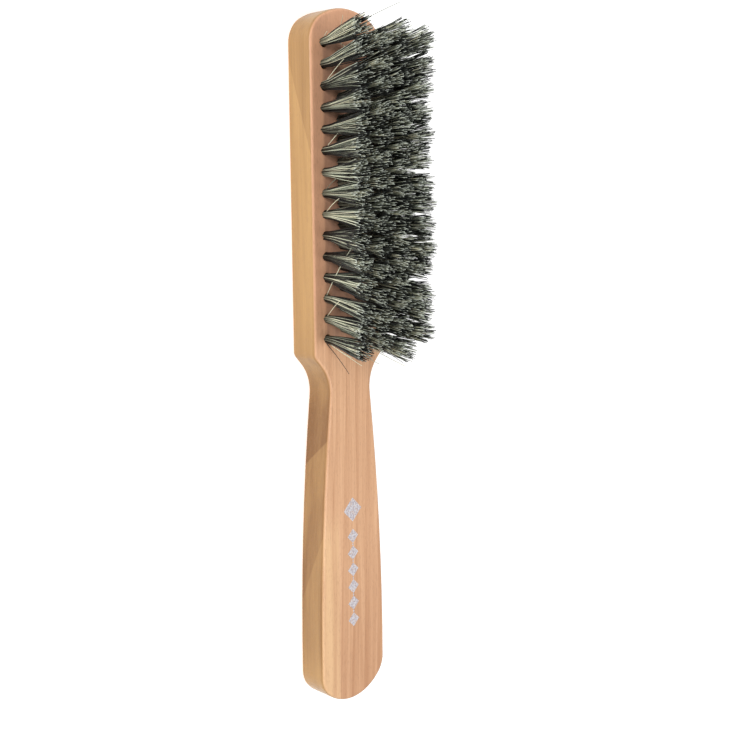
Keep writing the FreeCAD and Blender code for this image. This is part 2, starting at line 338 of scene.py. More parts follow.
@dataclass(frozen=True)
class WoodFinish:
    """Pale fruitwood under a satin clear varnish."""

    # the flat faces
    face_light: Color = (0.80, 0.485, 0.285)
    face_dark: Color = (0.520, 0.268, 0.142)
    ring_pitch: float = 0.0056
    ring_waver: float = 0.0075
    ring_slant: float = 0.03  # across for each unit along
    ring_tilt: float = 0.45  # across for each unit of height
    ring_edge: float = 1.6
    ring_share: float = 0.37
    soft_share: float = 0.26
    fibre_share: float = 0.33
    end_dark: float = 0.22
    end_dark_from: Pair = (-0.05, -0.115)
    blush: Color = (0.88, 0.465, 0.290)
    blush_share: float = 0.6
    blush_from: Pair = (0.0, 0.03)
    straw: Color = (0.82, 0.535, 0.290)
    straw_across: Pair = (0.0072, 0.0086)
    straw_along: Pair = (-0.045, -0.065)
    # painted shade and painted reflection of the dark bristles on the wood between the tufts
    between_tufts_shade: Color = (0.235, 0.130, 0.098)
    bed_handle_end: Pair = (0.0075, 0.0105)
    bed_head_end: Pair = (0.1120, 0.1090)
    bed_side: Pair = (0.0120, 0.0104)
    bed_height: Pair = (0.009, 0.0105)
    # the narrow sides
    side_light: Color = (0.500, 0.292, 0.115)
    side_dark: Color = (0.225, 0.104, 0.034)
    side_level: float = 0.62
    side_soft: float = 0.26
    side_fibre: float = 0.16
    # painted shade: the narrow sides are darkened along the handle from the neck; end_light
    # lightens them again towards the handle's end
    handle_painted_shade: float = 0.44
    handle_shade_from: Pair = (0.004, -0.022)
    end_light: float = 0.40
    end_light_from: Pair = (-0.095, -0.118)
    # pores and varnish
    pore: Color = (0.34, 0.16, 0.08)
    pore_share: float = 0.15
    pore_from: Pair = (0.74, 0.95)
    roughness: float = 0.34
    coat: float = 0.12
    specular: float = 0.3
    coat_roughness: float = 0.25
    bump: float = 0.00006
    layer_edges: tuple[LayerEdge, ...] = (
        LayerEdge(0.1067, -3.1, 0.060, 0.26),
        LayerEdge(-0.0346, 0.92, 0.055, 0.34),
        LayerEdge(-0.0850, 2.44, 0.030, 0.20),
    )

    def material(self, effects: SharedEffects) -> bpy.types.Material:
        """Builds the wood: bands and fibre along X, short pores, and yellower edges than faces.

        Args:
            effects: the shared node groups.

        Returns:
            The wood's material.
        """
        material, graph, shader = new_material("varnished_fruitwood")
        coords = graph.node("ShaderNodeTexCoord")
        place = coords.outputs["Object"]
        fibre = effects.place(graph, effects.streaks, Vector=place, Along=26.0, Across=1500.0,
                              Detail=4.0, Waver=0.002)
        dashes = effects.place(graph, effects.streaks, Vector=place, Along=520.0, Across=2600.0,
                               Detail=1.0, Waver=0.001)
        pores = graph.step(dashes, *self.pore_from)

        face = self.face_color(graph, effects, place, fibre)
        side = self.side_color(graph, effects, place, fibre)
        upright = graph.parts(coords.outputs["Normal"])[2]
        flat = graph.step(graph.maths("ABSOLUTE", upright), 0.45, 0.85)
        wood = graph.blend(flat, side, face)
        wood = graph.blend(graph.maths("MULTIPLY", pores, self.pore_share), wood, self.pore)
        graph.feed(shader.inputs["Base Color"], wood)

        rubbed = effects.place(graph, effects.rubbed, Vector=place, Scale=48.0, Spread=0.5)
        dull = graph.maths("MULTIPLY_ADD", rubbed, 0.07, self.roughness)
        graph.feed(shader.inputs["Roughness"], graph.maths("MULTIPLY_ADD", fibre, 0.05, dull))
        height = graph.maths("SUBTRACT", graph.maths("MULTIPLY", fibre, 0.5), pores)
        bump = graph.node("ShaderNodeBump", Height=height, Strength=0.5, Distance=self.bump)
        graph.feed(shader.inputs["Normal"], bump.outputs[0])
        shader.inputs["Specular IOR Level"].default_value = self.specular
        shader.inputs["Coat Weight"].default_value = self.coat
        shader.inputs["Coat Roughness"].default_value = self.coat_roughness
        return material

    def face_color(self, graph: Graph, effects: SharedEffects, place: bpy.types.NodeSocket,
                   fibre: bpy.types.NodeSocket) -> bpy.types.NodeSocket:
        """The flat faces: growth bands with one crisp edge each, a straw band by one edge, and
        painted shade and reflection between the tufts.

        Args:
            graph: the material's graph.
            effects: the shared node groups.
            place: the object coordinates.
            fibre: the fine fibre's value.

        Returns:
            The faces' colour.
        """
        x, y, z = graph.parts(place)
        slow = graph.noise(graph.vector("MULTIPLY", place, (9.0, 90.0, 60.0)), 1.0, 2.0).outputs[0]
        slanted = graph.maths("MULTIPLY_ADD", x, self.ring_slant, y)
        across = graph.maths("MULTIPLY_ADD", slow, self.ring_waver, slanted)
        layered = graph.maths("MULTIPLY_ADD", z, self.ring_tilt, across)
        ring = graph.maths("FRACT", graph.maths("DIVIDE", layered, self.ring_pitch))
        band = graph.maths("SUBTRACT", 1.0, graph.maths("POWER", ring, self.ring_edge))
        soft = effects.place(graph, effects.streaks, Vector=place, Along=4.0, Across=260.0,
                             Detail=2.0, Waver=0.004)
        figure = graph.maths("ADD", graph.maths("MULTIPLY", band, self.ring_share),
                             graph.maths("MULTIPLY", soft, self.soft_share))
        figure = graph.maths("MULTIPLY_ADD", fibre, self.fibre_share, figure)
        toward_end = graph.maths("MULTIPLY", graph.step(x, *self.end_dark_from), self.end_dark)
        figure = graph.maths("SUBTRACT", figure, toward_end, clamp=True)
        plain = graph.blend(figure, self.face_dark, self.face_light)
        headward = graph.maths("MULTIPLY", graph.step(x, *self.blush_from), self.blush_share)
        plain = graph.blend(headward, plain, self.blush)
        edge = graph.step(graph.maths("MULTIPLY_ADD", slow, 0.002, y), *self.straw_across)
        low = graph.step(x, *self.straw_along)
        share = graph.maths("MULTIPLY", graph.maths("MULTIPLY", edge, low),
                            graph.maths("MULTIPLY_ADD", soft, 0.6, 0.15))
        shown = graph.blend(share, plain, self.straw)
        # painted shade and painted reflection of the dark bristles on the varnish between the tufts
        bed_shade_share = graph.maths("MULTIPLY", self.bed_shade_mask(graph, x, y, z),
                          graph.maths("MULTIPLY_ADD", soft, 0.25, 0.5))
        return graph.blend(bed_shade_share, shown, self.between_tufts_shade)

    def bed_shade_mask(self, graph: Graph, x: bpy.types.NodeSocket, y: bpy.types.NodeSocket,
                 z: bpy.types.NodeSocket) -> bpy.types.NodeSocket:
        """Where the tufts stand on the front face, which takes the painted shade and reflection
        between them.

        Args:
            graph: the material's graph.
            x: the place along the brush.
            y: the place across it.
            z: the height.

        Returns:
            1 between the tufts and 0 elsewhere.
        """
        lengthwise = graph.maths("MULTIPLY", graph.step(x, *self.bed_handle_end),
                                 graph.step(x, *self.bed_head_end))
        inside = graph.step(graph.maths("ABSOLUTE", y), *self.bed_side)
        plan = graph.maths("MULTIPLY", lengthwise, inside)
        return graph.maths("MULTIPLY", plan, graph.step(z, *self.bed_height))

    def side_color(self, graph: Graph, effects: SharedEffects, place: bpy.types.NodeSocket,
                   fibre: bpy.types.NodeSocket) -> bpy.types.NodeSocket:
        """The narrow sides: yellower, with growth layers that slant out through them, and painted
        shade along the handle.

        Args:
            graph: the material's graph.
            effects: the shared node groups.
            place: the object coordinates.
            fibre: the fine fibre's value.

        Returns:
            The sides' colour.
        """
        x, _, z = graph.parts(place)
        soft = effects.place(graph, effects.streaks, Vector=place, Along=14.0, Across=240.0,
                             Detail=2.0, Waver=0.003)
        fine = graph.maths("MULTIPLY_ADD", fibre, self.side_fibre, self.side_level)
        light = graph.maths("MULTIPLY_ADD", soft, self.side_soft, fine)
        # painted shade along the handle's sides
        handle = graph.maths("MULTIPLY", graph.step(x, *self.handle_shade_from), self.handle_painted_shade)
        light = graph.maths("SUBTRACT", light, handle)
        end = graph.step(x, *self.end_light_from)
        light = graph.maths("MULTIPLY_ADD", end, self.end_light, light)
        for edge in self.layer_edges:
            line = graph.maths("MULTIPLY_ADD", z, edge.lean, edge.at_back)
            past = graph.maths("SUBTRACT", x, line)
            started = graph.step(past, -edge.sharpness, edge.sharpness)
            faded = graph.step(past, edge.fade, edge.fade * 0.4)
            shade = graph.maths("MULTIPLY", graph.maths("MULTIPLY", started, faded), edge.depth)
            light = graph.maths("SUBTRACT", light, shade, clamp=True)
        return graph.blend(light, self.side_dark, self.side_light)


@dataclass(frozen=True)
class BristleFinish:
    """Stiff natural bristle: black and dark strands mixed with ash green and straw ones."""

    black: Color = (0.003, 0.004, 0.004)
    dark: Color = (0.013, 0.016, 0.014)
    ash: Color = (0.17, 0.195, 0.14)
    pale: Color = (0.60, 0.64, 0.49)
    straw: Color = (0.84, 0.82, 0.60)
    # the pale cut ends of the strands, partly a painted glint on their tips
    cut_and_glint: Color = (0.86, 0.93, 0.84)
    tones: Triple = (0.54, 0.60, 0.80)  # where a strand's tone is dark, ash and pale
    # painted shade: each strand darkens to black towards its hole
    root_shade_from: Pair = (-0.06, 0.34)
    cut_glint_from: Pair = (0.93, 1.0)
    cut_glint_share: Pair = (0.02, 0.75)  # of a dark strand, and what a light one adds
    cut_glint_tones: Pair = (0.40, 0.62)
    roughness: float = 0.42

    def material(self, effects: SharedEffects) -> bpy.types.Material:
        """Builds the bristle from each strand's own tone, with painted shade darkening it into its
        hole, and paler at its cut, partly a painted glint.

        Args:
            effects: the shared node groups.

        Returns:
            The bristle's material.
        """
        material, graph, shader = new_material("mixed_bristle")
        tone = graph.node("ShaderNodeAttribute", {"attribute_name": "tone"}).outputs["Fac"]
        along = graph.node("ShaderNodeAttribute", {"attribute_name": "along"}).outputs["Fac"]
        ramp = graph.tree.nodes.new("ShaderNodeValToRGB")
        stops = ramp.color_ramp.elements
        stops[0].color, stops[1].color = (*self.black, 1.0), (*self.straw, 1.0)
        for position, color in zip(self.tones, (self.dark, self.ash, self.pale)):
            stops.new(position).color = (*color, 1.0)
        graph.feed(ramp.inputs[0], tone)
        place = graph.node("ShaderNodeTexCoord").outputs["Object"]
        speckle = graph.noise(place, 900.0, 2.0).outputs[0]
        # painted shade towards the roots, broken up by speckle
        shade = graph.maths("MULTIPLY", graph.step(along, *self.root_shade_from),
                            graph.maths("MULTIPLY_ADD", speckle, 0.5, 0.75), clamp=True)
        rooted = graph.blend(shade, self.black, ramp.outputs[0])
        # pale cut ends, partly painted glints
        least, more = self.cut_glint_share
        strength = graph.maths("MULTIPLY_ADD", graph.step(tone, *self.cut_glint_tones), more, least)
        cut_and_glint = graph.maths("MULTIPLY", graph.step(along, *self.cut_glint_from), strength)
        graph.feed(shader.inputs["Base Color"], graph.blend(cut_and_glint, rooted, self.cut_and_glint))
        rubbed = effects.place(graph, effects.rubbed, Vector=place, Scale=300.0, Spread=0.5)
        graph.feed(shader.inputs["Roughness"],
                   graph.maths("MULTIPLY_ADD", rubbed, 0.12, self.roughness))
        return material


@dataclass(frozen=True)
class SteelFinish:
    """Plain flat-drawn wire."""

    bright: Color = (0.62, 0.62, 0.63)
    dull: Color = (0.38, 0.38, 0.40)

    def material(self, effects: SharedEffects) -> bpy.types.Material:
        """Builds the wire's steel with drawn lines.

        Args:
            effects: the shared node groups.

        Returns:
            The steel's material.
        """
        material, graph, shader = new_material("drawn_wire_steel")
        place = graph.node("ShaderNodeTexCoord").outputs["Object"]
        lines = effects.place(graph, effects.streaks, Vector=place, Along=300.0, Across=6000.0,
                              Detail=2.0, Waver=0.0)
        graph.feed(shader.inputs["Base Color"], graph.blend(lines, self.dull, self.bright))
        graph.feed(shader.inputs["Roughness"], graph.maths("MULTIPLY_ADD", lines, 0.2, 0.25))
        shader.inputs["Metallic"].default_value = 1.0
        return material


@dataclass(frozen=True)
class FoilFinish:
    """Silver hot-stamping foil, pressed into the varnish and slightly rubbed."""

    # bright and shaded are painted glints and painted shade on the crinkled foil, mixed by the
    # crinkle noise
    bright: Color = (0.82, 0.81, 0.86)
    shaded: Color = (0.56, 0.49, 0.52)
    worn: Color = (0.50, 0.34, 0.24)
    wear: float = 0.45
    crinkle_scale: float = 1500.0
    crinkle_glint_from: Pair = (0.40, 0.60)
    metallic: float = 0.5
    roughness: float = 0.30
    bump: float = 0.00004

    def material(self, effects: SharedEffects) -> bpy.types.Material:
        """Builds the foil, which lets the wood's tone through where it is rubbed.

        Args:
            effects: the shared node groups.

        Returns:
            The foil's material.
        """
        material, graph, shader = new_material("silver_stamping_foil")
        place = graph.node("ShaderNodeTexCoord").outputs["Object"]
        rubbed = effects.place(graph, effects.rubbed, Vector=place, Scale=800.0, Spread=0.46)
        crinkle = graph.noise(place, self.crinkle_scale, 2.0).outputs[0]
        # painted glints and shade on the crinkles
        silver = graph.blend(graph.step(crinkle, *self.crinkle_glint_from), self.shaded, self.bright)
        graph.feed(shader.inputs["Base Color"],
                   graph.blend(graph.maths("MULTIPLY", rubbed, self.wear), silver, self.worn))
        graph.feed(shader.inputs["Metallic"],
                   graph.maths("MULTIPLY_ADD", rubbed, -0.3, self.metallic))
        graph.feed(shader.inputs["Roughness"],
                   graph.maths("MULTIPLY_ADD", rubbed, 0.2, self.roughness))
        bump = graph.node("ShaderNodeBump", Height=crinkle, Strength=0.5, Distance=self.bump)
        graph.feed(shader.inputs["Normal"], bump.outputs[0])
        return material


# ---- sub-assemblies ----


Finish = WoodFinish | SteelFinish | FoilFinish


def placed(name: str, data: bpy.types.ID) -> bpy.types.Object:
    """Adds an object to the scene.

    Args:
        name: the object's name.
        data: its mesh, light or camera.

    Returns:
        The object.
    """
    made = bpy.data.objects.new(name, data)
    bpy.context.scene.collection.objects.link(made)
    return made


@dataclass
class CadNodes:
    """CAD nodes that keep their own shape, all in one finish."""

    stem: str
    slot: Slot
    finish: Finish

    def dress(self, nodes: dict[str, bpy.types.Object], effects: SharedEffects) -> None:
        """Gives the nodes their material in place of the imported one.

        Args:
            nodes: every CAD node by name.
            effects: the shared node groups.
        """
        material = self.finish.material(effects)
        names = [name for name in nodes if name.startswith(self.stem)]
        for name in names:
            nodes[name].data.materials.clear()
            nodes[name].data.materials.append(material)
        LOG.info("%s: %d in slot %s", self.stem, len(names), self.slot.value)


@dataclass
class WoodenBody(CadNodes):
    """The one-piece handle and head."""

    stem: str = "wooden_body"
    slot: Slot = Slot.WOOD
    finish: WoodFinish = field(default_factory=WoodFinish)


@dataclass
class TuftAnchors(CadNodes):
    """The flat wires that hold the tufts in their holes."""

    stem: str = "tuft_anchors_"
    slot: Slot = Slot.STEEL
    finish: SteelFinish = field(default_factory=SteelFinish)


@dataclass
class FoilStamp(CadNodes):
    """The plain ornament stamped on the handle."""

    stem: str = "foil_stamp"
    slot: Slot = Slot.FOIL
    finish: FoilFinish = field(default_factory=FoilFinish)


class GeometryTree(Graph):
    """A Geometry Nodes tree with named inputs, which can be run on a host mesh."""

    def __init__(self, name: str, inputs: dict[str, tuple[str, Any]]) -> None:
        """Starts the tree.

        Args:
            name: the tree's name.
            inputs: for each input after Geometry, its socket type and its value.
        """
        super().__init__(bpy.data.node_groups.new(name, "GeometryNodeTree"))
        sockets = self.tree.interface
        for side in ("INPUT", "OUTPUT"):
            sockets.new_socket("Geometry", in_out=side, socket_type="NodeSocketGeometry")
        self.identifiers: dict[str, str] = {}
        self.values: dict[str, Any] = {}
        for label, (kind, value) in inputs.items():
            socket = sockets.new_socket(label, in_out="INPUT", socket_type=kind)
            self.identifiers[label] = socket.identifier
            self.values[label] = value
        self.given = self.tree.nodes.new("NodeGroupInput").outputs
        self.sink = self.tree.nodes.new("NodeGroupOutput")

    def named(self, name: str, kind: str = "FLOAT") -> bpy.types.NodeSocket:
        """An attribute of the geometry, by name."""
        made = self.node("GeometryNodeInputNamedAttribute", {"data_type": kind}, Name=name)
        return self.out(made, "Attribute")

    def random(self, seed_step: int, low: float = 0.0, high: float = 1.0) -> bpy.types.NodeSocket:
        """A random number for each element.

        Args:
            seed_step: what is added to the seed, so that each use gives another series.
            low: the least value.
            high: the greatest value.

        Returns:
            The number.
        """
        seed = self.maths("ADD", self.given["Seed"], float(seed_step))
        made = self.node("FunctionNodeRandomValue", {"data_type": "FLOAT"}, Min=low, Max=high,
                         Seed=seed)
        return self.out(made, "Value")

    def store(self, geometry: Any, name: str, value: Any,
              kind: str = "FLOAT") -> bpy.types.NodeSocket:
        """Stores a value on every point under a name.

        Args:
            geometry: the geometry output that gets it.
            name: the attribute's name.
            value: the value.
            kind: its data type.

        Returns:
            The geometry with the attribute.
        """
        made = self.node("GeometryNodeStoreNamedAttribute", {"data_type": kind, "domain": "POINT"},
                         Geometry=geometry, Name=name, Value=value)
        return made.outputs[0]

    def sweep(self, curves: Any, radius: Any, sides: int) -> None:
        """Ends the tree: gives the curves a round body and a material.

        Args:
            curves: the strands' centre lines.
            radius: each point's radius.
            sides: how many sides a strand has.
        """
        ring = self.node("GeometryNodeCurvePrimitiveCircle", Resolution=sides, Radius=1.0)
        skin = self.node("GeometryNodeCurveToMesh", Curve=curves, Profile_Curve=ring.outputs[0],
                         Scale=radius, Fill_Caps=True)
        smooth = self.node("GeometryNodeSetShadeSmooth", Geometry=skin.outputs[0],
                           Shade_Smooth=True)
        real = self.node("GeometryNodeRealizeInstances", Geometry=smooth.outputs[0])
        dressed = self.node("GeometryNodeSetMaterial", Geometry=real.outputs[0],
                            Material=self.given["Material"])
        self.feed(self.sink.inputs[0], dressed.outputs[0])

    def run(self, host: bpy.types.Object, name: str, **changes: Any) -> bpy.types.Object:
        """Runs the tree on a host mesh and turns the result into a plain mesh piece.

        Args:
            host: the object whose mesh the tree reads. It is used up.
            name: the new piece's name.
            **changes: input values that differ from the tree's own, with underscores for spaces.

        Returns:
            The finished piece, with no modifier.
        """
        changed = {label.replace("_", " "): value for label, value in changes.items()}
        modifier = host.modifiers.new(self.tree.name, "NODES")
        modifier.node_group = self.tree
        for label, identifier in self.identifiers.items():
            modifier[identifier] = changed.get(label, self.values[label])
        evaluated = host.evaluated_get(bpy.context.evaluated_depsgraph_get())
        mesh = bpy.data.meshes.new_from_object(evaluated)
        for label in (*TREE_ONLY, *HABITS):
            if label in mesh.attributes:
                mesh.attributes.remove(mesh.attributes[label])
        bpy.data.objects.remove(host)
        mesh.name = name
        return placed(name, mesh)


@dataclass(frozen=True)
class Tuft:
    """One tuft's place and habit."""

    x: float
    y: float
    lean_x: float
    lean_y: float
    fan: float
    light: float


@dataclass
class BristleBed:
    """Four staggered rows of tufts, made rank by rank across the head."""

    node_stem: str = "bristle_tufts_"
    first_from_tip: float = 0.0122
    pitch: float = 0.007
    row_spacing: float = 0.0072
    wood_top: float = 0.0113
    reach: float = 0.0228
    rooted: float = 0.0040
    strands: int = 165
    strand_radius: float = 0.00016
    root_radius: float = 0.00095
    tip_half_length: float = 0.0038
    tip_half_width: float = 0.0045
    splay_along: float = 0.06
    splay_across: float = 0.38
    first_lean: float = 0.0046  # set-back tufts lean to the tip, half as much in each later rank
    ragged: float = 0.0016
    bow: float = 0.0005
    clump: float = 0.0024
    clump_scale: float = 620.0
    crowding: float = 0.46  # 0.5 spreads strands evenly, and less crowds them to the tuft's rim
    points_per_strand: int = 6
    buried_share: float = 0.12  # of a strand's points, those sunk in its hole
    sides: int = 3
    seed: int = 41
    taper: float = 0.35  # share of its thickness that a strand loses by its tip
    stoutness: Pair = (0.75, 1.3)
    ragged_power: float = 2.2  # above 1, most strands are nearly full length
    lean_spread: Pair = (0.0006, 0.0005)
    fan_range: Pair = (0.88, 1.2)
    light_range: float = 0.07
    # painted light: strands on a tuft's +Y side, towards the key light, are made paler
    near_side_painted_light: float = 0.10
    rim_dark: float = 0.40
    finish: BristleFinish = field(default_factory=BristleFinish)

    def rank_tufts(self, rank: int, head_tip: float) -> list[Tuft]:
        """The tufts of one rank.

        Args:
            rank: 0 at the head's tip.
            head_tip: x of the head's tip.

        Returns:
            Four tufts, or two in the last rank.
        """
        dice = random.Random(self.seed * 100 + rank)
        spread_x, spread_y = self.lean_spread
        tufts = []
        for set_back, rows, count in ((0.0, (1.5, -0.5), RANKS), (0.5, (0.5, -1.5), RANKS - 1)):
            if rank >= count:
                continue
            x = head_tip - self.first_from_tip - self.pitch * (rank + set_back)
            forward = self.first_lean * set_back / 2.0 ** rank
            for row in rows:
                tufts.append(Tuft(x, row * self.row_spacing, dice.gauss(forward, spread_x),
                                  dice.gauss(0, spread_y), dice.uniform(*self.fan_range),
                                  dice.uniform(-self.light_range, self.light_range)))
        return tufts

    def host(self, name: str, tufts: list[Tuft]) -> bpy.types.Object:
        """A mesh of loose points, one at each tuft's hole, that carries the tufts' habits.

        Args:
            name: the host's name.
            tufts: the tufts.

        Returns:
            The host object.
        """
        mesh = bpy.data.meshes.new(name)
        mesh.from_pydata([(tuft.x, tuft.y, self.wood_top) for tuft in tufts], [], [])
        for habit in HABITS:
            values = [getattr(tuft, habit) for tuft in tufts]
            mesh.attributes.new(habit, "FLOAT", "POINT").data.foreach_set("value", values)
        return placed(name, mesh)

    def tree(self, material: bpy.types.Material, middle: float) -> GeometryTree:
        """Builds the tree that grows strands from a host's points.

        Args:
            material: the bristle's material.
            middle: x of the bed's middle, which the tufts splay away from.

        Returns:
            The tree.
        """
        sizes = ("strand_radius", "root_radius", "tip_half_length", "tip_half_width", "reach",
                 "rooted", "ragged", "bow", "clump", "clump_scale", "crowding", "splay_along",
                 "splay_across")
        tree = GeometryTree("bristle_rank", {
            "Strands": ("NodeSocketInt", self.strands), "Seed": ("NodeSocketInt", self.seed),
            **{size.replace("_", " ").title(): ("NodeSocketFloat", getattr(self, size))
               for size in sizes},
            "Bed Middle": ("NodeSocketFloat", middle), "Material": ("NodeSocketMaterial", material),
        })
        strands = self.strand_points(tree)
        line = tree.node("GeometryNodeCurvePrimitiveLine", End=(0.0, 0.0, 1.0))
        fine = tree.node("GeometryNodeResampleCurve", Curve=line.outputs[0],
                         Count=self.points_per_strand)
        copies = tree.node("GeometryNodeInstanceOnPoints", Points=strands, Instance=fine.outputs[0])
        curves = tree.node("GeometryNodeRealizeInstances", Geometry=copies.outputs[0]).outputs[0]
        along = tree.node("GeometryNodeSplineParameter").outputs["Factor"]
        curves = tree.store(curves, "along", along)
        curves = self.shaped(tree, curves)
        taper = tree.maths("MULTIPLY_ADD", tree.named("along"), -self.taper, 1.0)
        radius = tree.maths("MULTIPLY", tree.maths("MULTIPLY", taper, tree.named("stout")),
                            tree.given["Strand Radius"])
        tree.sweep(curves, radius, self.sides)
        return tree

    def strand_points(self, tree: GeometryTree) -> bpy.types.NodeSocket:
        """One point for each strand, with where it is rooted and where it ends.

        Args:
            tree: the tree that gets the nodes.

        Returns:
            The points.
        """
        given = tree.given
        points = tree.node("GeometryNodeMeshToPoints", Mesh=given["Geometry"]).outputs[0]
        copies = tree.node("GeometryNodeDuplicateElements", {"domain": "POINT"}, Geometry=points,
                           Amount=given["Strands"])
        turn = tree.random(1, 0.0, 2.0 * math.pi)
        spread = tree.maths("POWER", tree.random(2), given["Crowding"])
        side_x = tree.maths("MULTIPLY", spread, tree.maths("COSINE", turn))
        side_y = tree.maths("MULTIPLY", spread, tree.maths("SINE", turn))
        hole = tree.node("GeometryNodeInputPosition").outputs[0]
        x, y, z = tree.parts(hole)

        root = tree.xyz(tree.maths("MULTIPLY_ADD", side_x, given["Root Radius"], x),
                        tree.maths("MULTIPLY_ADD", side_y, given["Root Radius"], y), z)
        reach_x = tree.maths("MULTIPLY", given["Tip Half Length"], tree.named("fan"))
        splay_x = tree.maths("MULTIPLY", tree.maths("SUBTRACT", x, given["Bed Middle"]),
                             given["Splay Along"])
        tip_x = tree.maths("ADD", tree.maths("ADD", x, splay_x),
                           tree.maths("MULTIPLY_ADD", side_x, reach_x, tree.named("lean_x")))
        tip_y = tree.maths("ADD", tree.maths("MULTIPLY_ADD", y, given["Splay Across"], y),
                           tree.maths("MULTIPLY_ADD", side_y, given["Tip Half Width"],
                                      tree.named("lean_y")))
        short = tree.maths("MULTIPLY", tree.maths("POWER", tree.random(3), self.ragged_power),
                           given["Ragged"])
        tip_z = tree.maths("SUBTRACT", tree.maths("ADD", z, given["Reach"]), short)
        tip = tree.xyz(tip_x, tip_y, tip_z)
        wisps = tree.noise(tip, given["Clump Scale"], 1.0).outputs["Color"]
        pull = tree.vector("MULTIPLY", tree.vector("SUBTRACT", wisps, (0.5, 0.5, 0.5)),
                           (1.0, 1.0, 0.25))
        tip = tree.vector("ADD", tip, tree.vector("SCALE", pull, given["Clump"]))

        rim = tree.maths("ABSOLUTE", side_x)
        tone = tree.maths("ADD", tree.random(4), tree.named("light"))
        # painted light on each tuft's +Y side
        tone = tree.maths("MULTIPLY_ADD", side_y, self.near_side_painted_light, tone)
        middling = tree.maths("MULTIPLY_ADD", rim, -self.rim_dark, self.rim_dark / 4.0)
        tone = tree.maths("ADD", tone, middling, clamp=True)
        made = tree.store(copies.outputs[0], "root", root, "FLOAT_VECTOR")
        made = tree.store(made, "tip", tip, "FLOAT_VECTOR")
        made = tree.store(made, "tone", tone)
        made = tree.store(made, "stout", tree.random(5, *self.stoutness))
        bow = tree.xyz(tree.random(6, -1.0, 1.0), tree.random(7, -1.0, 1.0), 0.0)
        return tree.store(made, "bow", tree.vector("SCALE", bow, given["Bow"]), "FLOAT_VECTOR")

    def shaped(self, tree: GeometryTree, curves: bpy.types.NodeSocket) -> bpy.types.NodeSocket:
        """Lays each strand from its root, through a slight bow, to its tip.

        Args:
            tree: the tree that gets the nodes.
            curves: straight strands.

        Returns:
            The shaped strands.
        """
        root, tip = tree.named("root", "FLOAT_VECTOR"), tree.named("tip", "FLOAT_VECTOR")
        along = tree.named("along")
        rise = tree.vector("SUBTRACT", tip, root)
        straight = tree.vector("ADD", root, tree.vector("SCALE", rise, along))
        buried = tree.maths("LESS_THAN", along, self.buried_share)
        sink = tree.maths("MULTIPLY", buried, tree.maths("MULTIPLY", tree.given["Rooted"], -1.0))
        belly = tree.maths("MULTIPLY", along, tree.maths("SUBTRACT", 1.0, along))
        bow = tree.vector("SCALE", tree.named("bow", "FLOAT_VECTOR"),
                          tree.maths("MULTIPLY", belly, 4.0))
        place = tree.vector("ADD", tree.vector("ADD", straight, bow), tree.xyz(z=sink))
        return tree.node("GeometryNodeSetPosition", Geometry=curves, Position=place).outputs[0]

    def build(self, effects: SharedEffects) -> bpy.types.Material:
        """Makes one piece for each rank, in place of that rank's plain solids.

        Args:
            effects: the shared node groups.

        Returns:
            The bristle's material.
        """
        material = self.finish.material(effects)
        head_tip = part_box("wooden_body")[1].x
        middle = head_tip - self.first_from_tip - self.pitch * (RANKS - 1) / 2
        tree = self.tree(material, middle)
        for rank in range(RANKS):
            name = f"{self.node_stem}{rank + 1:02d}"
            host = self.host(f"tuft_points_{rank + 1:02d}", self.rank_tufts(rank, head_tip))
            piece = tree.run(host, f"bristles_{rank + 1:02d}", Seed=self.seed + 20 * rank)
            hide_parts(name)
            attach(piece, BODY)
            LOG.info("%s: %d faces", piece.name, len(piece.data.polygons))
        return material


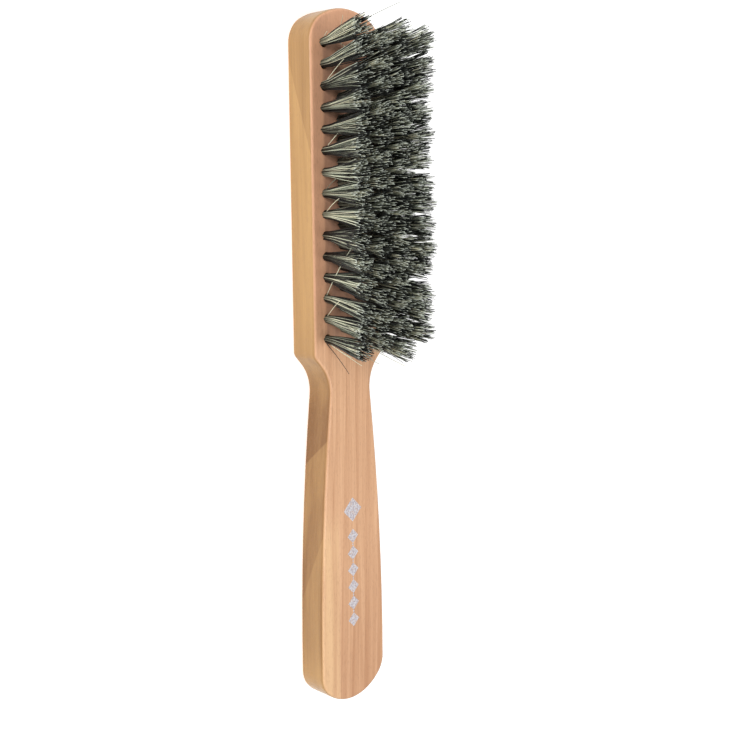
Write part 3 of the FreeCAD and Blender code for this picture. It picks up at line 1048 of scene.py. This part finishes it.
@dataclass
class StrayBristles:
    """A few long strands that stand away from the outer tufts."""

    name: str = "stray_bristles"
    radius: float = 0.00015
    sides: int = 5
    bends: int = 8
    taper: float = 0.5
    root_stoutness: float = 1.1
    along_range: Pair = (0.4, 0.9)  # clear of the painted root shade and the pale cut with its painted glint
    # Each strand: start, end (metres), sideways sag at its middle, tone.
    strands: tuple[tuple[Triple, Triple, Triple, float], ...] = (
        ((0.1093, 0.0108, 0.0110), (0.1215, -0.0060, 0.0300), (0.0004, 0.0003, 0.0), 0.60),
        ((0.1096, 0.0104, 0.0110), (0.1186, 0.0044, 0.0270), (0.0003, 0.0, 0.0004), 0.95),
        ((0.1090, 0.0108, 0.0110), (0.1165, 0.0062, 0.0250), (-0.0003, 0.0, 0.0002), 0.85),
        ((0.1152, 0.0029, 0.0113), (0.1180, 0.0063, 0.0160), (0.0, 0.0, 0.0), 1.0),
        ((0.1100, 0.0112, 0.0112), (0.1120, 0.0140, 0.0165), (0.0002, 0.0, 0.0), 0.9),
        ((0.1125, 0.0085, 0.0112), (0.1059, 0.0096, 0.0220), (0.0, 0.0, 0.0), 1.0),
        ((0.0102, 0.0118, 0.0110), (-0.0013, 0.0045, 0.0150), (0.0002, 0.0, 0.0003), 0.44),
        ((0.0102, 0.0112, 0.0110), (0.0022, 0.0047, 0.0215), (-0.0002, 0.0, 0.0003), 1.0),
        ((0.0104, 0.0112, 0.0110), (0.0051, 0.0080, 0.0200), (-0.0003, 0.0, 0.0), 1.0),
        ((0.0106, 0.0104, 0.0110), (0.0040, 0.0055, 0.0228), (-0.0002, 0.0, 0.0002), 0.9),
        ((0.0092, 0.0040, 0.0110), (0.0028, 0.0006, 0.0255), (-0.0002, 0.0, 0.0), 0.80),
        ((0.0098, -0.0030, 0.0110), (0.0016, -0.0075, 0.0300), (-0.0003, 0.0, 0.0), 0.9),
        ((0.0098, -0.0036, 0.0110), (0.0030, -0.0100, 0.0310), (-0.0002, 0.0, 0.0), 0.62),
        ((0.0743, 0.0112, 0.0110), (0.0800, 0.0122, 0.0195), (0.0001, 0.0, 0.0), 0.95),
        ((0.0603, 0.0113, 0.0110), (0.0650, 0.0150, 0.0210), (0.0003, 0.0002, 0.0), 0.6),
        ((0.0533, 0.0112, 0.0110), (0.0600, 0.0150, 0.0250), (0.0004, 0.0004, 0.0), 1.0),
        ((0.0253, 0.0112, 0.0110), (0.0452, 0.0150, 0.0300), (0.0005, 0.0006, 0.0), 0.9),
        ((0.0183, 0.0112, 0.0110), (0.0250, 0.0155, 0.0220), (0.0003, 0.0, 0.0), 1.0),
        ((0.0953, 0.0112, 0.0110), (0.1030, 0.0150, 0.0260), (0.0004, 0.0, 0.0), 0.95),
    )

    def host(self) -> bpy.types.Object:
        """A mesh of poly-lines, one for each strand, with its tone.

        Returns:
            The host object.
        """
        places: list[Vector] = []
        edges: list[tuple[int, int]] = []
        tones: list[float] = []
        alongs: list[float] = []
        first_along, last_along = self.along_range
        for start, end, sag, tone in self.strands:
            first = len(places)
            for k in range(self.bends + 1):
                t = k / self.bends
                belly = 4.0 * t * (1.0 - t)
                places.append(Vector(start).lerp(Vector(end), t) + Vector(sag) * belly)
                tones.append(tone)
                alongs.append(first_along + (last_along - first_along) * t)
            edges += [(k, k + 1) for k in range(first, first + self.bends)]
        mesh = bpy.data.meshes.new(self.name)
        mesh.from_pydata([tuple(p) for p in places], edges, [])
        mesh.attributes.new("tone", "FLOAT", "POINT").data.foreach_set("value", tones)
        mesh.attributes.new("along", "FLOAT", "POINT").data.foreach_set("value", alongs)
        return placed(self.name + "_lines", mesh)

    def build(self, material: bpy.types.Material) -> None:
        """Makes the strands as one piece.

        Args:
            material: the bristle's material.
        """
        tree = GeometryTree("stray_strands", {
            "Strand Radius": ("NodeSocketFloat", self.radius),
            "Material": ("NodeSocketMaterial", material),
        })
        curves = tree.node("GeometryNodeMeshToCurve", Mesh=tree.given["Geometry"]).outputs[0]
        taper = tree.maths("MULTIPLY_ADD", tree.named("along"), -self.taper, self.root_stoutness)
        tree.sweep(curves, tree.maths("MULTIPLY", taper, tree.given["Strand Radius"]), self.sides)
        piece = tree.run(self.host(), self.name)
        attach(piece, BODY)
        LOG.info("%s: %d strands", piece.name, len(self.strands))


# ---- studio ----


@dataclass(frozen=True)
class SoftLight:
    """One large soft light that points at the brush."""

    name: str
    place: Triple
    size: float
    watts: float
    color: Color = (1.0, 1.0, 1.0)

    def build(self, target: Vector) -> None:
        """Hangs the light and turns it to the target.

        Args:
            target: where the light points.
        """
        lamp = bpy.data.lights.new(self.name, "AREA")
        lamp.size, lamp.energy, lamp.color = self.size, self.watts, self.color
        holder = placed(self.name, lamp)
        holder.location = self.place
        holder.rotation_euler = (target - Vector(self.place)).to_track_quat("-Z", "Y").to_euler()


@dataclass
class Studio:
    """A plain pale floor, soft lights and the camera."""

    floor_size: float = 6.0
    floor_color: Color = (0.93, 0.93, 0.93)
    floor_tooth: float = 0.985  # brightness of the card's darker grain
    floor_glow: float = 0.42  # a card lit from below, which keeps the brush's shadow faint
    target: Triple = (0.0, 0.0, 0.01)
    sky_color: Color = (1.0, 1.0, 1.0)
    sky_strength: float = 0.50
    camera_place: Triple = (0.05699, 0.26397, 0.27816)
    camera_right: Triple = (-0.01472, -0.72390, 0.68975)
    camera_up: Triple = (0.99062, -0.10429, -0.08832)
    camera_back: Triple = (0.13587, 0.68198, 0.71864)
    lens: float = 53.70
    sensor: float = 36.0
    clip: Pair = (0.01, 50.0)
    shift: Pair = (0.0497, -0.0165)
    lights: tuple[SoftLight, ...] = (
        SoftLight("key", (0.35, 0.90, 0.52), 0.40, 6.5, (1.0, 0.985, 0.96)),
        SoftLight("fill", (-0.3, -0.1, 1.1), 0.6, 5.6),
    )

    def build(self) -> None:
        """Sets up the floor, the sky, the lights and the camera."""
        self.build_floor()
        world = bpy.data.worlds.new("studio_sky")
        world.use_nodes = True
        backdrop = world.node_tree.nodes["Background"]
        backdrop.inputs["Color"].default_value = (*self.sky_color, 1.0)
        backdrop.inputs["Strength"].default_value = self.sky_strength
        scene = bpy.context.scene
        scene.world = world
        scene.view_settings.view_transform = "Standard"
        for light in self.lights:
            light.build(Vector(self.target))
        self.build_camera()

    def build_floor(self) -> None:
        """A flat sheet of matt pale card under the brush."""
        half = self.floor_size / 2
        mesh = bpy.data.meshes.new("floor")
        mesh.from_pydata([(-half, -half, 0), (half, -half, 0), (half, half, 0), (-half, half, 0)],
                         [], [(0, 1, 2, 3)])
        floor = placed("floor", mesh)
        material, graph, shader = new_material("matt_card")
        place = graph.node("ShaderNodeTexCoord").outputs["Object"]
        tooth = graph.noise(place, 900.0, 3.0).outputs[0]
        grain = tuple(self.floor_tooth * channel for channel in self.floor_color)
        graph.feed(shader.inputs["Base Color"], graph.blend(tooth, grain, self.floor_color))
        shader.inputs["Roughness"].default_value = 0.9
        shader.inputs["Specular IOR Level"].default_value = 0.1
        shader.inputs["Emission Color"].default_value = (1.0, 1.0, 1.0, 1.0)
        shader.inputs["Emission Strength"].default_value = self.floor_glow
        mesh.materials.append(material)

    def build_camera(self) -> None:
        """The camera, above the brush's side, with the head at the top of the picture."""
        lens = bpy.data.cameras.new("camera")
        lens.lens, lens.sensor_width = self.lens, self.sensor
        lens.shift_x, lens.shift_y = self.shift
        lens.clip_start, lens.clip_end = self.clip
        camera = placed("camera", lens)
        axes = Matrix((self.camera_right, self.camera_up, self.camera_back)).transposed()
        camera.matrix_world = Matrix.Translation(self.camera_place) @ axes.to_4x4()
        bpy.context.scene.camera = camera


def main() -> None:
    """Builds and dresses every sub-assembly, then the studio."""
    logging.basicConfig(level=logging.INFO, format="%(name)s %(message)s")
    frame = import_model()
    nodes = frame["nodes"]
    effects = SharedEffects.build()
    WoodenBody().dress(nodes, effects)
    TuftAnchors().dress(nodes, effects)
    FoilStamp().dress(nodes, effects)
    bristle = BristleBed().build(effects)
    StrayBristles().build(bristle)
    Studio().build()


if __name__ == "__main__":
    main()
